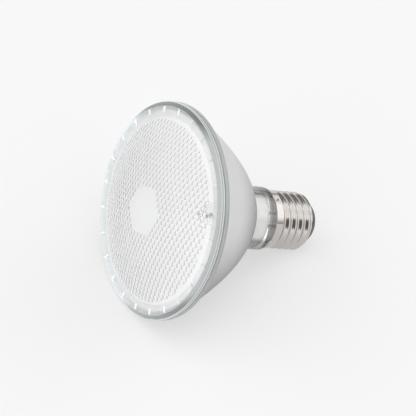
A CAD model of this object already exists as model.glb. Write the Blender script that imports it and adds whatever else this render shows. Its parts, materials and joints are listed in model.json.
import json
import logging
import math
from collections.abc import Iterable
from dataclasses import dataclass
from enum import Enum
from typing import ClassVar

import bmesh
import bpy
from mathutils import Matrix, Quaternion, Vector


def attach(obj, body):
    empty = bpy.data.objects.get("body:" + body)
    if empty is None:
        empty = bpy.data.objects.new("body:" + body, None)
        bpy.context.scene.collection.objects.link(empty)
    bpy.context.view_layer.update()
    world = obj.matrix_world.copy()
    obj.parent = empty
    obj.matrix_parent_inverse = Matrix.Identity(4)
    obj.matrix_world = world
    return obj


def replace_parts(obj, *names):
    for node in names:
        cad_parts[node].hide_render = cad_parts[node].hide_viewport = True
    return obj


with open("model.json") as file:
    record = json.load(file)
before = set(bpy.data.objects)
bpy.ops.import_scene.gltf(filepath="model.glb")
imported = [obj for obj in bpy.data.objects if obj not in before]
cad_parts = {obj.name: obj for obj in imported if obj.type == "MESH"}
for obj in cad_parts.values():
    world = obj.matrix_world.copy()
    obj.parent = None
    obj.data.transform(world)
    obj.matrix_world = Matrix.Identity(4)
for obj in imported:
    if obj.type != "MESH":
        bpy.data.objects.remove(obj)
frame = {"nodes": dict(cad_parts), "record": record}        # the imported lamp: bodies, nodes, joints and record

LOG = logging.getLogger("par_bulb")
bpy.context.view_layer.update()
BODY = "root"
SHADE = "lenslet_shade"
MM = 0.001

# Sizes that several pieces share, in lamp millimetres and degrees
RIM_RADIUS = 48.0
SEAM_HALF = 0.2
SEAL_AIR = 0.06
CAP_EDGE = 52.5
CRIMP_COUNT = 4
CRIMP_TURN = 10.0

# Limits for telling points and faces apart
WELD = 1e-4
NEAR = 1e-3
FLAT = 0.9

# Directions in the lamp's own axes, with the rim's sides as the camera sees them
TO_CAP = (0.0, 0.0, 1.0)
TO_FLOOR = (1.0, 0.0, 0.0)
RIM_TOP = (-0.875, 0.485, 0.0)
RIM_FOOT = (0.731, -0.682, 0.0)
RIM_RIGHT = (-0.6, -0.8, 0.0)

Point = tuple[float, float]
Colour = tuple[float, float, float]
Direction = tuple[float, float, float]
Socket = bpy.types.NodeSocket
Input = Socket | float


@dataclass(frozen=True)
class LampFrame:
    """The lamp's own axis: heights run from the seam towards the cap, in millimetres.

    Local x faces the floor, and local y runs along the row's Y.
    """

    mount_height: float = CAP_EDGE

    def seam(self) -> Vector:
        """Middle of the seam between lens and bowl, in metres."""
        mount = frame["record"]["mounts"][0]
        return Vector(mount["pos_m"]) - self.axis() * self.mount_height * MM

    def axis(self) -> Vector:
        """Direction from the lens to the cap."""
        return Vector(frame["record"]["mounts"][0]["axis"]).normalized()

    def matrix(self) -> Matrix:
        """Places the lamp's own axes in the row.

        Returns:
            The matrix from lamp millimetres to the row's metres.
        """
        across = Vector((0.0, 1.0, 0.0))
        down = across.cross(self.axis())
        turn = Matrix((down, across, self.axis())).transposed().to_4x4()
        return Matrix.Translation(self.seam()) @ turn @ Matrix.Scale(MM, 4)


class Tree:
    """Adds and links the nodes of one shader tree."""

    def __init__(self, tree: bpy.types.NodeTree) -> None:
        """Starts on an empty tree.

        Args:
            tree: The node tree to fill.
        """
        self.tree = tree
        self.tree.nodes.clear()

    def add(
        self, kind: str, inputs: dict[str | int, object] | None = None, **settings: object
    ) -> bpy.types.Node:
        """Adds one node.

        Args:
            kind: Blender's name of the node type.
            inputs: Values or sockets for its inputs, by name or number.
            settings: Values for the node's own properties.

        Returns:
            The new node.
        """
        node = self.tree.nodes.new(kind)
        for key, value in settings.items():
            setattr(node, key, value)
        for key, value in (inputs or {}).items():
            if isinstance(value, Socket):
                self.tree.links.new(value, node.inputs[key])
            else:
                node.inputs[key].default_value = value
        return node

    def math(self, operation: str, *values: Input) -> Socket:
        """Adds a Math node and returns its output."""
        return self.add("ShaderNodeMath", dict(enumerate(values)), operation=operation).outputs[0]

    def noise(self, place: Socket, scale: Socket, detail: float) -> Socket:
        """Adds a noise pattern and returns its level."""
        values = {"Vector": place, "Scale": scale, "Detail": detail}
        return self.add("ShaderNodeTexNoise", values).outputs[0]

    def ramp(self, value: Socket, start: Input, end: Input, low: Input, high: Input) -> Socket:
        """Adds a smooth step between two levels and returns its output."""
        limits = {"Value": value, "From Min": start, "From Max": end, "To Min": low, "To Max": high}
        return self.add("ShaderNodeMapRange", limits, interpolation_type="SMOOTHSTEP").outputs[0]

    def toward(self, ray: Socket, way: Socket | Direction) -> Socket:
        """Adds the share of a ray along a direction and returns its output."""
        node = self.add("ShaderNodeVectorMath", {0: ray, 1: way}, operation="DOT_PRODUCT")
        return node.outputs["Value"]

    def scale(self, colour: Socket, level: Socket) -> Socket:
        """Adds a change of a colour's level and returns its output."""
        values = {0: colour, "Scale": level}
        return self.add("ShaderNodeVectorMath", values, operation="SCALE").outputs[0]

    def blend(self, share: Input, low: Input, high: Input) -> Socket:
        """Adds a mix of two numbers and returns its output."""
        return self.add("ShaderNodeMix", {0: share, 2: low, 3: high}, data_type="FLOAT").outputs[0]


def rgba(colour: Colour) -> tuple[float, float, float, float]:
    """The colour with full alpha."""
    return (*colour, 1.0)


class Effect:
    """Shader node groups that several finishes share, each built once."""

    built: ClassVar[dict[str, bpy.types.NodeTree]] = {}
    cloud_share: ClassVar[float] = 0.7
    cloud_detail: ClassVar[float] = 3.0
    grain_detail: ClassVar[float] = 2.0

    @classmethod
    def start(cls, name: str, inputs: dict[str, str], outputs: dict[str, str]) -> Tree:
        """Starts a group with its named sockets.

        Args:
            name: The group's name.
            inputs: Kind of each input, by its name.
            outputs: Kind of each output, by its name.

        Returns:
            The group's empty tree.
        """
        group = bpy.data.node_groups.new(name, "ShaderNodeTree")
        for side, sockets in (("INPUT", inputs), ("OUTPUT", outputs)):
            for label, kind in sockets.items():
                group.interface.new_socket(name=label, in_out=side, socket_type="NodeSocket" + kind)
        cls.built[name] = group
        return Tree(group)

    @classmethod
    def grain(cls) -> bpy.types.NodeTree:
        """Cloudy colour and roughness with fine grain, on Object coordinates.

        Returns:
            A group with Light, Dark, Cloud Scale, Grain Scale, Roughness and Spread as
            inputs, and Colour, Roughness and Height as outputs.
        """
        name = "surface_grain"
        if name in cls.built:
            return cls.built[name]
        colours = dict.fromkeys(("Light", "Dark"), "Color")
        levels = dict.fromkeys(("Cloud Scale", "Grain Scale", "Roughness", "Spread"), "Float")
        results = {"Colour": "Color", "Roughness": "Float", "Height": "Float"}
        tree = cls.start(name, colours | levels, results)
        given = tree.add("NodeGroupInput").outputs
        place = tree.add("ShaderNodeTexCoord").outputs["Object"]
        cloud = tree.noise(place, given["Cloud Scale"], cls.cloud_detail)
        grain = tree.noise(place, given["Grain Scale"], cls.grain_detail)
        both = tree.blend(cls.cloud_share, grain, cloud)
        mixed = {0: both, 6: given["Dark"], 7: given["Light"]}
        colour = tree.add("ShaderNodeMix", mixed, data_type="RGBA").outputs[2]
        swing = tree.math("MULTIPLY", tree.math("SUBTRACT", both, 0.5), given["Spread"])
        rough = tree.math("ADD", given["Roughness"], swing)
        tree.add("NodeGroupOutput", {"Colour": colour, "Roughness": rough, "Height": grain})
        return tree.tree

    @classmethod
    def fade(cls) -> bpy.types.NodeTree:
        """A level that changes along one direction of the lamp, on Object coordinates.

        Returns:
            A group with Way, Start, End and End Level as inputs, in lamp axes and metres,
            and Level as output.
        """
        name = "lamp_fade"
        if name in cls.built:
            return cls.built[name]
        limits = dict.fromkeys(("Start", "End", "End Level"), "Float")
        tree = cls.start(name, {"Way": "Vector"} | limits, {"Level": "Float"})
        given = tree.add("NodeGroupInput").outputs
        lamp = LampFrame()
        place = {
            "Vector": tree.add("ShaderNodeTexCoord").outputs["Object"],
            "Location": lamp.seam(),
            "Rotation": lamp.matrix().to_euler(),
        }
        local = tree.add("ShaderNodeMapping", place, vector_type="TEXTURE").outputs[0]
        share = tree.toward(local, given["Way"])
        level = tree.ramp(share, given["Start"], given["End"], 1.0, given["End Level"])
        tree.add("NodeGroupOutput", {"Level": level})
        return tree.tree


@dataclass(frozen=True)
class Fade:
    """A change of level along one direction of the lamp, in millimetres from the seam's middle."""

    way: Direction
    start: float
    end: float
    level: float


@dataclass(frozen=True)
class Finish:
    """A surface finish: two close colours, gloss, grain and fades.

    Its glow stands in for the light that bounces behind glass more often than is followed.
    """

    name: str
    light: Colour
    dark: Colour
    roughness: float
    spread: float = 0.04
    metallic: float = 0.0
    transmission: float = 0.0
    ior: float = 1.5
    cloud_scale: float = 40.0
    grain_scale: float = 900.0
    bump: float = 0.0
    bump_depth: float = 0.05
    glow: float = 0.0
    fades: tuple[Fade, ...] = ()
    made: ClassVar[dict[str, bpy.types.Material]] = {}

    def material(self) -> bpy.types.Material:
        """Makes the finish's material, or gives the one made before.

        Returns:
            The material.
        """
        if self.name in self.made:
            return self.made[self.name]
        made = bpy.data.materials.new(self.name)
        self.made[self.name] = made
        made.use_nodes = True
        tree = Tree(made.node_tree)
        values = {
            "Light": rgba(self.light),
            "Dark": rgba(self.dark),
            "Cloud Scale": self.cloud_scale,
            "Grain Scale": self.grain_scale,
            "Roughness": self.roughness,
            "Spread": self.spread,
        }
        grain = tree.add("ShaderNodeGroup", values, node_tree=Effect.grain()).outputs
        colour = self.tint(tree, grain["Colour"])
        sockets = {
            "Base Color": colour,
            "Roughness": grain["Roughness"],
            "Metallic": self.metallic,
            "Transmission Weight": self.transmission,
            "IOR": self.ior,
            "Emission Color": self.shine(tree, colour),
            "Emission Strength": self.glow,
        }
        if self.bump:
            relief = {
                "Strength": self.bump,
                "Distance": self.bump_depth * MM,
                "Height": grain["Height"],
            }
            sockets["Normal"] = tree.add("ShaderNodeBump", relief).outputs[0]
        shader = tree.add("ShaderNodeBsdfPrincipled", sockets)
        tree.add("ShaderNodeOutputMaterial", {"Surface": shader.outputs[0]})
        return made

    def tint(self, tree: Tree, colour: Socket) -> Socket:
        """Changes the grained colour along the finish's fades.

        Args:
            tree: The material's tree.
            colour: The grained colour.

        Returns:
            The changed colour.
        """
        for fade in self.fades:
            values = {
                "Way": fade.way,
                "Start": fade.start * MM,
                "End": fade.end * MM,
                "End Level": fade.level,
            }
            level = tree.add("ShaderNodeGroup", values, node_tree=Effect.fade()).outputs["Level"]
            colour = tree.scale(colour, level)
        return colour

    def shine(self, tree: Tree, colour: Socket) -> Socket:
        """Colour of the finish's glow, which is its own colour."""
        return colour


@dataclass(frozen=True)
class GrazedGlass(Finish):
    """Clear glass that darkens where it is seen along its wall."""

    edge_start: float = 0.32
    edge_end: float = 0.46
    edge_level: float = 0.12
    edge_blend: float = 0.5

    def tint(self, tree: Tree, colour: Socket) -> Socket:
        """Darkens the colour at grazing angles.

        Args:
            tree: The material's tree.
            colour: The grained colour.

        Returns:
            The darkened colour.
        """
        facing = tree.add("ShaderNodeLayerWeight", {"Blend": self.edge_blend}).outputs["Facing"]
        level = tree.ramp(facing, self.edge_start, self.edge_end, 1.0, self.edge_level)
        return tree.scale(super().tint(tree, colour), level)


@dataclass(frozen=True)
class RimGlass(Finish):
    """Milky glass of the rim, whose glow is seen from inside the glass alone."""

    def shine(self, tree: Tree, colour: Socket) -> Socket:
        """Keeps the glow to the back of each face."""
        inside = tree.add("ShaderNodeNewGeometry").outputs["Backfacing"]
        return tree.scale(colour, inside)


@dataclass(frozen=True)
class LensletGlass(Finish):
    """Clear glass that greys on one side of each lenslet."""

    shade_start: float = 0.35
    shade_end: float = 0.9
    shade_level: float = 0.54

    def tint(self, tree: Tree, colour: Socket) -> Socket:
        """Greys the colour by the mesh's own shade attribute.

        Args:
            tree: The material's tree.
            colour: The grained colour.

        Returns:
            The greyed colour.
        """
        shade = tree.add("ShaderNodeAttribute", attribute_name=SHADE).outputs["Fac"]
        level = tree.ramp(shade, self.shade_start, self.shade_end, 1.0, self.shade_level)
        return tree.scale(super().tint(tree, colour), level)


LENS_GLASS = LensletGlass(
    "pressed_lens_glass",
    light=(1.0, 1.0, 1.0),
    dark=(0.985, 0.99, 0.99),
    roughness=0.01,
    spread=0.01,
    transmission=1.0,
)
NECK_GLASS = GrazedGlass(
    "clear_neck_glass",
    light=(1.0, 1.0, 1.0),
    dark=(0.98, 0.985, 0.985),
    roughness=0.02,
    spread=0.02,
    transmission=1.0,
    fades=(Fade(TO_CAP, 48.0, 49.5, 0.46),),
)
RIM_GLASS = RimGlass(
    "grey_rim_glass",
    light=(0.88, 0.94, 0.965),
    dark=(0.84, 0.90, 0.925),
    roughness=0.08,
    spread=0.04,
    transmission=0.2,
    glow=0.6,
    fades=(
        Fade(RIM_TOP, 34.0, 43.0, 0.32),
        Fade(RIM_FOOT, 36.0, 44.0, 0.46),
        Fade(RIM_RIGHT, -10.0, 30.0, 0.6),
    ),
)
# The last two fades draw one darker line along the edge
EDGE_GLASS = RimGlass(
    "pale_edge_glass",
    light=(0.97, 0.98, 0.98),
    dark=(0.93, 0.94, 0.94),
    roughness=0.1,
    spread=0.05,
    transmission=0.2,
    glow=0.6,
    fades=(
        Fade(RIM_RIGHT, 0.0, 35.0, 0.78),
        Fade(TO_CAP, -1.5, -1.3, 0.6),
        Fade(TO_CAP, -0.95, -0.8, 1.6),
    ),
)
LAND_GLASS = Finish(
    "ground_glass_land",
    light=(1.0, 1.0, 1.0),
    dark=(0.97, 0.975, 0.975),
    roughness=0.5,
    spread=0.1,
    transmission=1.0,
)
FLANGE_GLASS = Finish(
    "grey_flange_glass",
    light=(0.47, 0.50, 0.49),
    dark=(0.41, 0.44, 0.43),
    roughness=0.15,
    spread=0.05,
    transmission=0.3,
)
MIRROR = Finish(
    "aluminised_mirror",
    light=(0.99, 0.99, 0.99),
    dark=(0.975, 0.975, 0.975),
    roughness=0.5,
    spread=0.04,
    metallic=0.3,
    glow=0.25,
)
SATIN = Finish(
    "satin_bowl_back",
    light=(0.67, 0.67, 0.67),
    dark=(0.62, 0.62, 0.62),
    roughness=0.5,
    spread=0.08,
    metallic=0.25,
    fades=(Fade(TO_CAP, 12.0, 42.0, 0.5), Fade(TO_FLOOR, -24.0, 20.0, 0.4)),
)
CERAMIC = Finish(
    "white_ceramic",
    light=(0.97, 0.965, 0.955),
    dark=(0.93, 0.925, 0.91),
    roughness=0.6,
    spread=0.1,
    bump=0.2,
    glow=0.24,
)
NICKEL = Finish(
    "nickel_plate",
    light=(0.60, 0.57, 0.545),
    dark=(0.53, 0.505, 0.485),
    roughness=0.06,
    spread=0.04,
    metallic=1.0,
)
SEAL = Finish(
    "pale_adhesive",
    light=(0.95, 0.955, 0.955),
    dark=(0.90, 0.905, 0.91),
    roughness=0.5,
)
QUARTZ = Finish(
    "clear_quartz",
    light=(0.99, 0.99, 0.99),
    dark=(0.97, 0.97, 0.97),
    roughness=0.0,
    spread=0.01,
    transmission=1.0,
    ior=1.46,
)
TUNGSTEN = Finish(
    "drawn_tungsten",
    light=(0.34, 0.34, 0.35),
    dark=(0.24, 0.24, 0.25),
    roughness=0.4,
    spread=0.1,
    metallic=1.0,
)
WIRE = Finish(
    "drawn_wire",
    light=(0.62, 0.62, 0.62),
    dark=(0.5, 0.5, 0.5),
    roughness=0.3,
    spread=0.1,
    metallic=1.0,
)
FOIL = Finish(
    "thin_foil",
    light=(0.5, 0.51, 0.53),
    dark=(0.4, 0.41, 0.43),
    roughness=0.35,
    spread=0.1,
    metallic=1.0,
)
SLEEVE = Finish(
    "crimped_sleeve",
    light=(0.7, 0.64, 0.52),
    dark=(0.6, 0.54, 0.44),
    roughness=0.35,
    spread=0.1,
    metallic=1.0,
)
SOLDER = Finish(
    "dull_solder",
    light=(0.66, 0.67, 0.68),
    dark=(0.5, 0.51, 0.52),
    roughness=0.42,
    spread=0.15,
    metallic=1.0,
    bump=0.3,
)
CEMENT = Finish(
    "cap_cement",
    light=(0.8, 0.78, 0.74),
    dark=(0.7, 0.68, 0.64),
    roughness=0.85,
    spread=0.1,
    bump=0.6,
)
BLACK_GLASS = Finish(
    "black_cap_glass",
    light=(0.025, 0.025, 0.028),
    dark=(0.012, 0.012, 0.014),
    roughness=0.35,
    spread=0.1,
    ior=1.3,
)
CONTACT = Finish(
    "nickel_contact",
    light=(0.78, 0.75, 0.71),
    dark=(0.66, 0.63, 0.59),
    roughness=0.3,
    spread=0.12,
    metallic=1.0,
)


@dataclass(frozen=True)
class PackedParts:
    """Nodes of one sub-assembly that show as packed, each with its own finish."""

    finishes: dict[str, Finish]

    def dress(self) -> None:
        """Gives each node its finish in place of its plain one."""
        for node, finish in self.finishes.items():
            mesh = frame["nodes"][node].data
            mesh.materials.clear()
            mesh.materials.append(finish.material())


SEAM = PackedParts({"lens_seal": SEAL})
BURNER = PackedParts(
    {
        "capsule_envelope": QUARTZ,
        "filament": TUNGSTEN,
        "inner_lead_live": WIRE,
        "inner_lead_neutral": WIRE,
        "seal_foil_live": FOIL,
        "seal_foil_neutral": FOIL,
        "capsule_pin_live": WIRE,
        "capsule_pin_neutral": WIRE,
        "capsule_holder": CERAMIC,
    }
)
WIRING = PackedParts(
    {
        "crimp_sleeve_live": SLEEVE,
        "crimp_sleeve_neutral": SLEEVE,
        "live_lead": WIRE,
        "neutral_lead": WIRE,
        "shell_weld": SOLDER,
    }
)
CAP_END = PackedParts(
    {
        "cap_cement": CEMENT,
        "cap_insulator": BLACK_GLASS,
        "centre_contact": CONTACT,
        "contact_solder": SOLDER,
    }
)


def arc(middle: Point, radius: float, start: float, end: float, steps: int) -> list[Point]:
    """Points of a circular arc in the profile plane.

    Args:
        middle: Its centre as radius and height.
        radius: Its radius.
        start: Angle of its first point in degrees from the outward direction.
        end: Angle of its last point.
        steps: Number of runs.

    Returns:
        The points, both ends among them.
    """
    angles = [math.radians(start + (end - start) * i / steps) for i in range(steps + 1)]
    return [(middle[0] + radius * math.cos(a), middle[1] + radius * math.sin(a)) for a in angles]


def parabola(wide: Point, narrow: Point, steps: int) -> list[Point]:
    """Points of the parabola about the axis through two points.

    Args:
        wide: Its wider end as radius and height.
        narrow: Its narrower end.
        steps: Number of runs.

    Returns:
        The points from wide to narrow, both among them.
    """
    rate = (wide[0] ** 2 - narrow[0] ** 2) / (narrow[1] - wide[1])
    radii = [wide[0] + (narrow[0] - wide[0]) * i / steps for i in range(steps + 1)]
    return [(r, wide[1] + (wide[0] ** 2 - r**2) / rate) for r in radii]


@dataclass(frozen=True)
class Sphere:
    """A sphere on the axis, seen from the front."""

    radius: float
    centre: float

    @classmethod
    def through(cls, foot: Point, top: float) -> "Sphere":
        """The sphere through a foot circle and a top point.

        Args:
            foot: Radius and height of the foot circle.
            top: Height of the top.

        Returns:
            The sphere.
        """
        rise = foot[1] - top
        radius = (foot[0] ** 2 + rise**2) / (2 * rise)
        return cls(radius, top + radius)

    def height(self, r: float) -> float:
        """Height of its front at this distance from the axis."""
        return self.centre - math.sqrt(max(self.radius**2 - r**2, 0.0))


def lathe(
    bm: bmesh.types.BMesh, points: Iterable[Point], steps: int, closed: bool
) -> list[bmesh.types.BMVert]:
    """Turns a profile about the lamp's axis.

    Args:
        bm: The mesh that gains the turned form.
        points: Radius and height of each profile point.
        steps: Number of steps in the full turn.
        closed: Whether the last point joins the first.

    Returns:
        The turned form's vertices, welded.
    """
    verts = [bm.verts.new((r, 0.0, s)) for r, s in points]
    edges = [bm.edges.new(pair) for pair in zip(verts, verts[1:])]
    if closed:
        edges.append(bm.edges.new((verts[-1], verts[0])))
    old = set(bm.verts) - set(verts)
    bmesh.ops.spin(
        bm,
        geom=verts + edges,
        cent=(0, 0, 0),
        axis=(0, 0, 1),
        angle=math.tau,
        steps=steps,
        use_merge=True,
    )
    bmesh.ops.remove_doubles(bm, verts=[v for v in bm.verts if v not in old], dist=WELD)
    bmesh.ops.delete(bm, geom=[e for e in bm.edges if not e.link_faces], context="EDGES")
    return [v for v in bm.verts if v not in old]


def settle(
    bm: bmesh.types.BMesh, name: str, finishes: Iterable[Finish], sharp: float
) -> bpy.types.Object:
    """Puts a mesh made in lamp millimetres into the row as a finished piece.

    Args:
        bm: The mesh, which is freed.
        name: The piece's name.
        finishes: Its finishes, in the order of its material numbers.
        sharp: Edges that turn by more than this, in degrees, stay sharp.

    Returns:
        The piece, riding on the lamp.
    """
    limit = math.radians(sharp)
    for face in bm.faces:
        face.smooth = True
    for edge in bm.edges:
        edge.smooth = edge.calc_face_angle(0.0) < limit
    bmesh.ops.transform(bm, matrix=LampFrame().matrix(), verts=bm.verts)
    mesh = bpy.data.meshes.new(name)
    bm.to_mesh(mesh)
    bm.free()
    for finish in finishes:
        mesh.materials.append(finish.material())
    piece = bpy.data.objects.new(name, mesh)
    bpy.context.scene.collection.objects.link(piece)
    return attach(piece, BODY)


class LensFace(Enum):
    """Finishes of the lens's faces, in the order of their material numbers."""

    CLEAR = 0
    RIM = 1
    EDGE = 2
    LAND = 3


@dataclass
class FrontLens:
    """Pressed glass lens: lenslets on a dome, a plain hexagon, a ribbed band and a round rim.

    Its back stays a little off the seal, so that the two don't share a face.
    """

    rim_radius: float = RIM_RADIUS
    front: float = -2.7
    back: float = -SEAM_HALF - SEAL_AIR
    rim_round: float = 2.0
    rim_parts: int = 8
    rim_facing: float = 0.6
    dome_radius: float = 40.0
    dome_foot: float = 0.5
    dome_rise: float = 8.2
    foot_width: float = 1.0
    wall: float = 3.2
    inner_foot: float = 40.8
    inner_parts: int = 24
    pitch: float = 2.63
    lenslet_height: float = 0.12
    lattice_turn: float = 4.0
    shade_side: float = 256.0
    plain_rings: int = 4
    cell_parts: int = 4
    rib_count: int = 24
    rib_length: float = 2.7
    rib_width: float = 0.8
    rib_height: float = 0.45
    rib_end: float = 45.6
    rib_turn: float = 7.5
    steps: int = 240
    sharp: float = 38.0

    def lenslet(self, x: float, y: float) -> tuple[float, float]:
        """Depth of the front below the lenslets' tops, and its shade.

        Args:
            x: Place on the unturned lattice.
            y: The same, across.

        Returns:
            The depth as a share of the lenslets' height, and the shade, which grows
            towards each lenslet's dark side; the plain middle has none.
        """
        row = self.pitch * math.sqrt(3) / 2
        corner = self.pitch / math.sqrt(3)
        side = math.radians(self.shade_side - self.lattice_turn)
        near = []
        for j in range(round(y / row) - 1, round(y / row) + 2):
            first = round(x / self.pitch - j / 2)
            for i in range(first - 1, first + 2):
                across, up = x - (i + j / 2) * self.pitch, y - j * row
                lean = (across * math.cos(side) + up * math.sin(side)) / (self.pitch / 2)
                ring = max(abs(i), abs(j), abs(i + j))
                near.append((math.hypot(across, up), ring, (lean + 1) / 2))
        least = min(near)[0]
        tied = [cell for cell in near if cell[0] < least + NEAR]
        if max(ring for _, ring, _ in tied) <= self.plain_rings:
            return 1.0, 0.0
        return (least / corner) ** 2, max(shade for _, _, shade in tied)

    def cells(self) -> bmesh.types.BMesh:
        """The dome's face as a fine grid, raised to its lenslets.

        Returns:
            The open mesh, trimmed to the dome's foot circle.
        """
        side = self.pitch / math.sqrt(3)
        rings = math.ceil(self.dome_radius / (self.pitch / 2)) + 1
        cuts = rings * self.cell_parts - 1
        bm = bmesh.new()
        bmesh.ops.create_circle(bm, cap_ends=True, cap_tris=True, segments=6, radius=side * rings)
        bmesh.ops.subdivide_edges(bm, edges=bm.edges, cuts=cuts, use_grid_fill=True)
        outside = [f for f in bm.faces if all(v.co.xy.length > self.dome_radius for v in f.verts)]
        bmesh.ops.delete(bm, geom=outside, context="FACES")
        foot = self.front - self.dome_foot
        dome = Sphere.through((self.dome_radius, foot), self.front - self.dome_rise)
        shades = bm.verts.layers.float.new(SHADE)
        for vert in bm.verts:
            vert.co.xy *= min(1.0, self.dome_radius / max(vert.co.xy.length, WELD))
            depth, vert[shades] = self.lenslet(vert.co.x, vert.co.y)
            vert.co.z = dome.height(vert.co.xy.length) + self.lenslet_height * depth
        return bm

    def profile(self) -> list[Point]:
        """Rest of the section, from the dome's foot round the rim to the inside's middle.

        Returns:
            Radius and height of each point.
        """
        corner = (self.rim_radius - self.rim_round, self.front + self.rim_round)
        inner = Sphere.through((self.inner_foot, self.back), self.front - self.dome_rise + self.wall)
        inside = [self.inner_foot * (1 - i / self.inner_parts) for i in range(self.inner_parts + 1)]
        return [
            (self.dome_radius + self.foot_width, self.front),
            *arc(corner, self.rim_round, -90, 0, self.rim_parts),
            (self.rim_radius, self.back),
            *((r, inner.height(r)) for r in inside),
        ]

    def ribs(self, bm: bmesh.types.BMesh) -> None:
        """Adds the small bars on the band round the dome.

        Args:
            bm: The lens's mesh, which gains them.
        """
        middle = self.rib_end - self.rib_length / 2
        size = Matrix.Diagonal((self.rib_length, self.rib_width, 2 * self.rib_height, 1))
        place = Matrix.Translation((middle, 0, self.front)) @ size
        for i in range(self.rib_count):
            angle = math.tau * i / self.rib_count + math.radians(self.rib_turn)
            turn = Matrix.Rotation(angle, 4, "Z")
            bar = bmesh.ops.create_cube(bm, size=1.0, matrix=turn @ place)["verts"]
            rounded = bmesh.ops.bevel(
                bm,
                geom=list({e for v in bar for e in v.link_edges}),
                offset=self.rib_height / 2,
                segments=2,
                profile=0.5,
                affect="EDGES",
                material=-1,
            )["verts"]
            for face in {f for v in rounded for f in v.link_faces}:
                face.material_index = LensFace.EDGE.value

    def build(self) -> bpy.types.Object:
        """Builds the lens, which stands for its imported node.

        Returns:
            The piece.
        """
        bm = self.cells()
        turn = Matrix.Rotation(math.radians(self.lattice_turn), 4, "Z")
        bmesh.ops.transform(bm, matrix=turn, verts=bm.verts)
        lathe(bm, self.profile(), self.steps, closed=False)
        bmesh.ops.bridge_loops(bm, edges=[e for e in bm.edges if e.is_boundary])
        bmesh.ops.dissolve_degenerate(bm, dist=WELD, edges=bm.edges)
        bmesh.ops.recalc_face_normals(bm, faces=bm.faces)
        for face in bm.faces:
            face.material_index = self.face_kind(face).value
        self.ribs(bm)
        finishes = {
            LensFace.CLEAR: LENS_GLASS,
            LensFace.RIM: RIM_GLASS,
            LensFace.EDGE: EDGE_GLASS,
            LensFace.LAND: LAND_GLASS,
        }
        piece = settle(bm, "lens_glass", [finishes[kind] for kind in LensFace], self.sharp)
        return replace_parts(piece, "front_lens")

    def face_kind(self, face: bmesh.types.BMFace) -> LensFace:
        """Finish of a face, by where it lies.

        Args:
            face: A face of the lens.

        Returns:
            Its finish.
        """
        away = face.calc_center_median().xy.length
        if away > self.rim_radius - self.rim_round and face.normal.z < FLAT:
            return LensFace.RIM if face.normal.z < -self.rim_facing else LensFace.EDGE
        if away > self.inner_foot and face.normal.z > FLAT:
            return LensFace.LAND
        return LensFace.CLEAR


class BowlFace(Enum):
    """Finishes of the bowl's faces, in the order of their material numbers."""

    SATIN = 0
    MIRROR = 1
    CLEAR = 2
    FLANGE = 3


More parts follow.
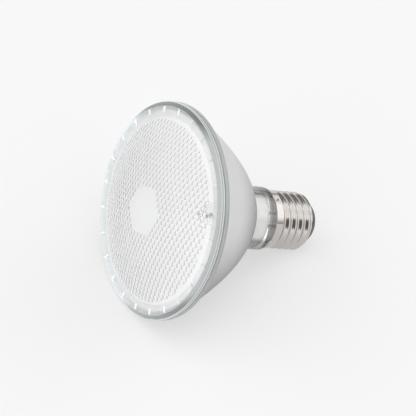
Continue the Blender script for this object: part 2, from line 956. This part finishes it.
@dataclass
class ReflectorBowl:
    """Glass bowl in one with flange, clear neck, base and boss.

    Its front stays a little off the seal, so that the two don't share a face.
    """

    rim_radius: float = RIM_RADIUS
    front: float = SEAM_HALF + SEAL_AIR
    mouth_radius: float = 44.0
    flange: float = 2.35
    flange_round: float = 0.4
    flange_lip: float = 2.0
    flange_parts: int = 4
    depth: float = 40.4
    bowl_parts: int = 40
    root_radius: float = 14.3
    neck_radius: float = 14.2
    neck_end: float = 52.3
    neck_round: float = 0.6
    neck_parts: int = 5
    bore_radius: float = 10.9
    mirror_inset: float = 1.4
    base_front: float = 48.8
    base_back: float = 53.5
    boss_radius: float = 12.2
    boss_wall: float = 2.6
    boss_end: float = 55.2
    crimp_count: int = CRIMP_COUNT
    crimp_turn: float = CRIMP_TURN
    notch_width: float = 2.6
    notch_depth: float = 0.8
    notch_length: float = 2.6
    notch_slope: float = 0.05
    steps: int = 240
    sharp: float = 30.0

    def profile(self) -> list[Point]:
        """The closed section, from the mouth round the outside to the mirror.

        Returns:
            Radius and height of each point.
        """
        mouth = (self.mouth_radius, self.front)
        foot = (self.rim_radius - self.flange_lip, self.flange)
        root = (self.root_radius, self.depth)
        throat = (self.bore_radius, self.depth - self.mirror_inset)
        lip = (self.rim_radius - self.flange_round, self.flange - self.flange_round)
        edge = (self.neck_radius - self.neck_round, self.neck_end - self.neck_round)
        notch_start = self.neck_end - self.notch_length
        boss_inside = self.boss_radius - self.boss_wall
        return [
            mouth,
            (self.rim_radius, self.front),
            *arc(lip, self.flange_round, 0, 90, self.flange_parts),
            *parabola(foot, root, self.bowl_parts),
            (self.neck_radius, notch_start - self.notch_slope),
            (self.neck_radius, notch_start),
            *arc(edge, self.neck_round, 0, 90, self.neck_parts),
            (self.boss_radius, self.neck_end),
            (self.boss_radius, self.boss_end),
            (boss_inside, self.boss_end),
            (boss_inside, self.base_back),
            (0.0, self.base_back),
            (0.0, self.base_front),
            (self.bore_radius, self.base_front),
            *parabola(mouth, throat, self.bowl_parts)[:0:-1],
        ]

    def build(self) -> bpy.types.Object:
        """Builds the bowl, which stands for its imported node.

        Returns:
            The piece.
        """
        bm = bmesh.new()
        self.notch(lathe(bm, self.profile(), self.steps, closed=True))
        bmesh.ops.recalc_face_normals(bm, faces=bm.faces)
        for face in bm.faces:
            face.material_index = self.face_kind(face).value
        finishes = {
            BowlFace.SATIN: SATIN,
            BowlFace.MIRROR: MIRROR,
            BowlFace.CLEAR: NECK_GLASS,
            BowlFace.FLANGE: FLANGE_GLASS,
        }
        piece = settle(bm, "bowl_glass", [finishes[kind] for kind in BowlFace], self.sharp)
        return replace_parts(piece, "reflector_bowl")

    def notch(self, verts: Iterable[bmesh.types.BMVert]) -> None:
        """Sinks the notches for the crimps into the neck's end.

        Args:
            verts: The turned bowl's vertices.
        """
        floor = self.neck_radius - self.notch_depth
        start = self.neck_end - self.notch_length - NEAR
        half = self.notch_width / 2
        for i in range(self.crimp_count):
            angle = math.tau * i / self.crimp_count + math.radians(self.crimp_turn)
            out = Vector((math.cos(angle), math.sin(angle)))
            for vert in verts:
                aside = abs(vert.co.x * out.y - vert.co.y * out.x)
                if start < vert.co.z and aside < half and vert.co.xy.dot(out) > floor:
                    vert.co.xy = vert.co.xy * (floor / vert.co.xy.length)

    def face_kind(self, face: bmesh.types.BMFace) -> BowlFace:
        """Finish of a face, by where it lies.

        Args:
            face: A face of the turned bowl.

        Returns:
            Its finish.
        """
        middle = face.calc_center_median()
        s = middle.z
        outward = face.normal.xy.dot(middle.xy) > 0
        if s < self.flange + NEAR and (outward or abs(face.normal.z) > FLAT):
            return BowlFace.FLANGE
        if outward:
            return BowlFace.SATIN if s < self.depth else BowlFace.CLEAR
        if self.front + NEAR < s < self.depth - self.mirror_inset:
            return BowlFace.MIRROR
        return BowlFace.CLEAR


@dataclass
class ScrewShell:
    """Rolled nickel shell: skirt with crimp dimples, round thread and rounded end."""

    edge: float = CAP_EDGE
    skirt_end: float = 56.5
    skirt_radius: float = 13.3
    skirt_round: float = 0.5
    crest_radius: float = 13.14
    root_radius: float = 12.1
    pitch: float = 3.629
    thread_start: float = 53.75
    end: float = 74.2
    end_round: float = 4.6
    end_play: float = 0.44
    hole_radius: float = 11.1
    wall: float = 0.3
    crimp_count: int = CRIMP_COUNT
    crimp_turn: float = CRIMP_TURN
    crimp_radius: float = 1.6
    crimp_height: float = 1.4
    crimp_depth: float = 0.45
    rows: int = 130
    steps: int = 240
    sharp: float = 50.0

    def end_middle(self) -> Point:
        """Middle of the end's rounding, as radius and height."""
        return self.skirt_radius + self.end_play - self.end_round, self.end - self.end_round

    def limit(self, s: float) -> float:
        """Radius of the rounded end.

        Args:
            s: Height along the axis.

        Returns:
            The radius.
        """
        middle, foot = self.end_middle()
        past = min(max(s - foot, 0.0), self.end_round)
        return middle + math.sqrt(self.end_round**2 - past**2)

    def radius(self, angle: float, s: float) -> float:
        """Outside radius of the shell.

        Args:
            angle: Angle about the axis, in radians.
            s: Height along the axis.

        Returns:
            The radius, with skirt, thread and end blended.
        """
        turns = (s - self.thread_start) / self.pitch - angle / math.tau
        swing = (self.crest_radius - self.root_radius) / 2
        thread = self.root_radius + swing * (1 + math.cos(math.tau * turns))
        share = min(max((s - self.skirt_end) / self.skirt_round + 0.5, 0.0), 1.0)
        share *= share * (3 - 2 * share)
        plain = self.skirt_radius + (thread - self.skirt_radius) * share
        return min(plain, self.limit(s), self.dimple(angle, s))

    def dimple(self, angle: float, s: float) -> float:
        """Radius to which a crimp presses the skirt.

        Args:
            angle: Angle about the axis, in radians.
            s: Height along the axis.

        Returns:
            The radius, or a large one outside the crimps.
        """
        part = math.tau / self.crimp_count
        aside = (angle - math.radians(self.crimp_turn) + part / 2) % part - part / 2
        middle = self.skirt_radius - self.crimp_depth + self.crimp_radius
        along = s - self.edge - self.crimp_height
        left = self.crimp_radius**2 - along**2 - (middle * math.sin(aside)) ** 2
        return middle * math.cos(aside) - math.sqrt(left) if left > 0 else math.inf

    def build(self) -> bpy.types.Object:
        """Builds the shell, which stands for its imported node.

        Returns:
            The piece.
        """
        middle, foot = self.end_middle()
        top = foot + math.sqrt(self.end_round**2 - (self.hole_radius - middle) ** 2)
        heights = [self.edge + (top - self.edge) * i / self.rows for i in range(self.rows + 1)]
        bm = bmesh.new()
        for vert in lathe(bm, [(self.skirt_radius, s) for s in heights], self.steps, closed=False):
            reach = self.radius(math.atan2(vert.co.y, vert.co.x), vert.co.z)
            vert.co.xy = vert.co.xy * (reach / vert.co.xy.length)
        bmesh.ops.recalc_face_normals(bm, faces=bm.faces)
        bmesh.ops.solidify(bm, geom=list(bm.faces), thickness=self.wall)
        bmesh.ops.recalc_face_normals(bm, faces=bm.faces)
        piece = settle(bm, "nickel_shell", [NICKEL], self.sharp)
        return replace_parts(piece, "screw_shell")


@dataclass(frozen=True)
class Patch:
    """A lighter or darker round patch of the studio's walls, which the cap mirrors.

    Its size is given by the cosines of its outer and inner angle.
    """

    way: Direction
    outer: float
    inner: float
    level: float


@dataclass
class Studio:
    """Pale floor, soft light and the photograph's camera."""

    azimuth: float = -23.411
    elevation: float = 44.016
    roll: float = -0.6
    distance: float = 1.08113
    seam_right: float = -0.01994
    seam_up: float = -0.00116
    focal_length: float = 214.25
    nearest: float = 0.01
    floor_size: float = 6.0
    floor_colour: Colour = (0.94, 0.94, 0.94)
    floor_glow: float = 0.55
    wall_level: float = 1.12
    roof_level: float = 1.25
    roof_height: float = 0.8
    horizon_level: float = 0.2
    horizon_height: float = 0.2
    edge_side: Direction = (0.98, 0.2, 0.0)
    edge_start: float = 0.1
    edge_end: float = 0.7
    patches: tuple[Patch, ...] = (
        Patch((0.24, 0.62, 0.75), 0.80, 0.95, 0.22),
        Patch((-0.34, -0.79, 0.51), 0.92, 0.965, 0.12),
        Patch((0.84, -0.25, 0.48), 0.85, 0.95, 1.4),
        Patch((0.60, -0.32, 0.73), 0.972, 0.99, 0.3),
    )

    def back(self) -> Vector:
        """Direction from the lamp to the camera.

        Returns:
            The unit vector.
        """
        turn, rise = math.radians(self.azimuth), math.radians(self.elevation)
        flat = math.cos(rise)
        return Vector((math.sin(turn) * flat, -math.cos(turn) * flat, math.sin(rise)))

    def camera(self) -> None:
        """Sets the camera where the photograph was taken from."""
        data = bpy.data.cameras.new("view")
        data.lens = self.focal_length
        data.clip_start = self.nearest
        camera = bpy.data.objects.new("view", data)
        bpy.context.scene.collection.objects.link(camera)
        roll = Quaternion((0, 0, 1), math.radians(self.roll))
        turn = (-self.back()).to_track_quat("-Z", "Y") @ roll
        aside = turn @ Vector((self.seam_right, self.seam_up, 0))
        camera.rotation_mode = "QUATERNION"
        camera.rotation_quaternion = turn
        camera.location = LampFrame().seam() + self.back() * self.distance - aside
        bpy.context.scene.camera = camera

    def floor(self) -> None:
        """Lays the floor under the lamp, which camera, metal and glass see as the pale background."""
        bm = bmesh.new()
        bmesh.ops.create_grid(bm, x_segments=1, y_segments=1, size=self.floor_size)
        mesh = bpy.data.meshes.new("floor")
        bm.to_mesh(mesh)
        bm.free()
        made = bpy.data.materials.new("pale_floor")
        made.use_nodes = True
        tree = Tree(made.node_tree)
        matt = tree.add("ShaderNodeBsdfDiffuse", {"Color": rgba(self.floor_colour)})
        glow = tree.add("ShaderNodeEmission", {"Color": rgba(self.floor_colour)})
        path = tree.add("ShaderNodeLightPath").outputs
        mirrored = tree.math("MAXIMUM", path["Is Glossy Ray"], path["Is Transmission Ray"])
        seen = tree.math("MAXIMUM", path["Is Camera Ray"], mirrored)
        share = tree.math("MULTIPLY", seen, self.floor_glow)
        shader = tree.add("ShaderNodeMixShader", {0: share, 1: matt.outputs[0], 2: glow.outputs[0]})
        tree.add("ShaderNodeOutputMaterial", {"Surface": shader.outputs[0]})
        mesh.materials.append(made)
        floor = bpy.data.objects.new("floor", mesh)
        bpy.context.scene.collection.objects.link(floor)

    def world(self) -> None:
        """Lights the studio all round, brightest above and darkest low down behind the cap."""
        world = bpy.data.worlds.new("studio")
        world.use_nodes = True
        bpy.context.scene.world = world
        tree = Tree(world.node_tree)
        ray = tree.add("ShaderNodeTexCoord").outputs["Generated"]
        height = tree.add("ShaderNodeSeparateXYZ", {0: ray}).outputs["Z"]
        level = tree.ramp(height, 0.0, self.roof_height, self.wall_level, self.roof_level)
        low = tree.ramp(height, 0.0, self.horizon_height, self.horizon_level, 1.0)
        edge = tree.ramp(tree.toward(ray, self.edge_side), self.edge_start, self.edge_end, 0.0, 1.0)
        shade = tree.blend(edge, 1.0, low)
        for patch in self.patches:
            spot = tree.ramp(tree.toward(ray, patch.way), patch.outer, patch.inner, 1.0, patch.level)
            shade = tree.math("MULTIPLY", shade, spot)
        # The plain backdrop is for the camera alone: glass and metal need the walls' own light
        seen = tree.add("ShaderNodeLightPath").outputs["Is Camera Ray"]
        light = tree.math("MULTIPLY", level, shade)
        light = tree.blend(seen, light, self.floor_colour[0])
        values = {"Color": rgba((1.0, 1.0, 1.0)), "Strength": light}
        shader = tree.add("ShaderNodeBackground", values)
        tree.add("ShaderNodeOutputWorld", {"Surface": shader.outputs[0]})

    def build(self) -> None:
        """Sets up floor, light, camera and colour management."""
        self.floor()
        self.world()
        self.camera()
        bpy.context.scene.view_settings.view_transform = "Standard"


def main() -> None:
    """Builds the lamp's looks and its studio, and reports each piece."""
    logging.basicConfig(level=logging.INFO, format="%(name)s %(message)s")
    for assembly in (FrontLens(), ReflectorBowl(), ScrewShell()):
        piece = assembly.build()
        LOG.info("%s: %d faces", piece.name, len(piece.data.polygons))
    for parts in (SEAM, BURNER, WIRING, CAP_END):
        parts.dress()
        for node, finish in parts.finishes.items():
            LOG.info("%s wears %s", node, finish.name)
    Studio().build()


if __name__ == "__main__":
    main()
